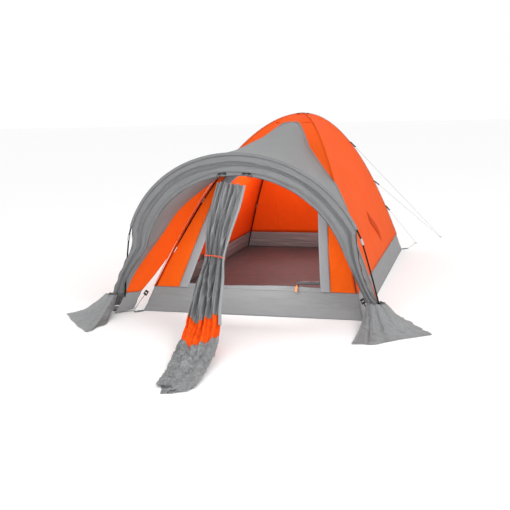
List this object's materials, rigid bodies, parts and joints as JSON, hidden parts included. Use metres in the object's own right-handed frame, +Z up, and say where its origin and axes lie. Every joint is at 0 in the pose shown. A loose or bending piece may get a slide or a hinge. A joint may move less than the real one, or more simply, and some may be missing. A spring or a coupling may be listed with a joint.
{
  "type": "tent on poles",
  "caption": "Dome tent on crossed poles with a hooped front vestibule, gathered door, zips, snow skirts and guylines.",
  "frame": {"origin": "centre of the groundsheet underside, on the ground", "axes": "+Z up, -Y towards the vestibule door, +X to the right as seen by someone facing the door"},
  "size_m": [2.0882, 4.1182, 1.119],
  "materials": {
    "orange_canopy_fabric": "ripstop nylon, silicone coated, satin",
    "orange_inner_fabric": "breathable nylon taffeta, matt",
    "grey_canopy_fabric": "ripstop nylon, silicone coated, satin",
    "grey_tub_fabric": "polyurethane-coated nylon taffeta, slightly glossy",
    "grey_zip_tape": "woven polyester zip tape with a nylon coil",
    "black_anodised_pole": "drawn 7001 tube, black anodised",
    "plain_aluminium": "turned and tumbled",
    "black_nylon_plastic": "injection moulded nylon, fine matt texture",
    "red_black_cord_ring": "moulded ring, dark red",
    "orange_elastic": "knitted cover over elastic",
    "black_webbing": "woven polyester webbing",
    "pale_grey_cord": "braided polyester cord"
  },
  "bodies": {
    "tent": {"floor_tub": "grey_tub_fabric", "side_wall_left": "orange_canopy_fabric", "shoulder_left": "orange_canopy_fabric", "vestibule_wall_left": "orange_canopy_fabric", "porch_foot_left": "grey_canopy_fabric", "snow_skirt_left": "grey_canopy_fabric", "side_wall_right": "orange_canopy_fabric", "shoulder_right": "orange_canopy_fabric", "vestibule_wall_right": "orange_canopy_fabric", "porch_foot_right": "grey_canopy_fabric", "snow_skirt_right": "grey_canopy_fabric", "rear_wall": "orange_canopy_fabric", "front_wall": "orange_inner_fabric", "doorway_zip_tape": "grey_zip_tape", "crown_panel": "orange_canopy_fabric", "roof_panel": "grey_canopy_fabric", "hoop_sleeve": "grey_canopy_fabric", "hoop_valance": "grey_canopy_fabric", "gathered_door": "grey_canopy_fabric", "door_band": "orange_canopy_fabric", "door_skirt": "grey_canopy_fabric", "tie_loop": "orange_elastic", "tie_toggle": "black_nylon_plastic", "dome_pole_left": "black_anodised_pole", "dome_pole_right": "black_anodised_pole", "hoop_pole": "black_anodised_pole", "pole_ferrules": "plain_aluminium", "pole_tips": "black_nylon_plastic", "door_bundle": "grey_canopy_fabric", "peg_loops": "black_webbing", "peg_eyelets": "plain_aluminium", "guyline_upper_left": "pale_grey_cord", "guyline_middle_left": "pale_grey_cord", "guyline_lower_left": "pale_grey_cord", "corner_line_left": "pale_grey_cord", "corner_buckle_left": "black_nylon_plastic", "corner_strap_left": "black_webbing", "side_vent_left": "orange_canopy_fabric", "guyline_upper_right": "pale_grey_cord", "guyline_middle_right": "pale_grey_cord", "guyline_lower_right": "pale_grey_cord", "corner_line_right": "pale_grey_cord", "corner_buckle_right": "black_nylon_plastic", "corner_strap_right": "black_webbing", "side_vent_right": "orange_canopy_fabric", "guy_tabs": "black_webbing", "guy_locks": "black_nylon_plastic", "anchor_rings": "plain_aluminium", "rear_vent_hood": "grey_canopy_fabric", "apex_patch": "grey_canopy_fabric"},
    "vestibule_slider_left": {"vestibule_zip_slider_left": "black_nylon_plastic"},
    "vestibule_slider_right": {"vestibule_zip_slider_right": "black_nylon_plastic"},
    "ring_left": {"ring_pull_left": "red_black_cord_ring"},
    "ring_right": {"ring_pull_right": "red_black_cord_ring"},
    "door_slider": {"door_zip_slider": "black_nylon_plastic"},
    "door_pull": {"door_zip_pull": "orange_elastic"},
    "tie_button": {"toggle_button": "black_nylon_plastic"}
  },
  "joints": [
    {"name": "vestibule_zip_left", "type": "hinge", "parent": "tent", "child": "vestibule_slider_left", "pos_m": [0, -1.1734, 0.24857], "axis": [0, -0.9777, -0.21], "range_deg": [0, 57.6]},
    {"name": "ring_pull_left_swing", "type": "hinge", "parent": "vestibule_slider_left", "child": "ring_left", "pos_m": [-0.08577, -1.30316, 0.82593], "axis": [0, -0.9777, -0.21], "range_deg": [-60, 60]},
    {"name": "vestibule_zip_right", "type": "hinge", "parent": "tent", "child": "vestibule_slider_right", "pos_m": [0, -1.1734, 0.24857], "axis": [0, -0.9777, -0.21], "range_deg": [-57.6, 0]},
    {"name": "ring_pull_right_swing", "type": "hinge", "parent": "vestibule_slider_right", "child": "ring_right", "pos_m": [0.08577, -1.30316, 0.82593], "axis": [0, -0.9777, -0.21], "range_deg": [-60, 60]},
    {"name": "door_zip_slide", "type": "slide", "parent": "tent", "child": "door_slider", "axis": [1, 0, 0], "range_m": [-0.65, 0.13]},
    {"name": "door_pull_flip", "type": "hinge", "parent": "door_slider", "child": "door_pull", "pos_m": [0.26, -1.00443, 0.16165], "axis": [-1, 0, 0], "range_deg": [0, 140]},
    {"name": "tie_button_press", "type": "slide", "parent": "tent", "child": "tie_button", "axis": [0, -0.5875, -0.8092], "range_m": [0, 0.004], "stiffness_N_per_m": 300, "springref_m": -0.001}
  ]
}
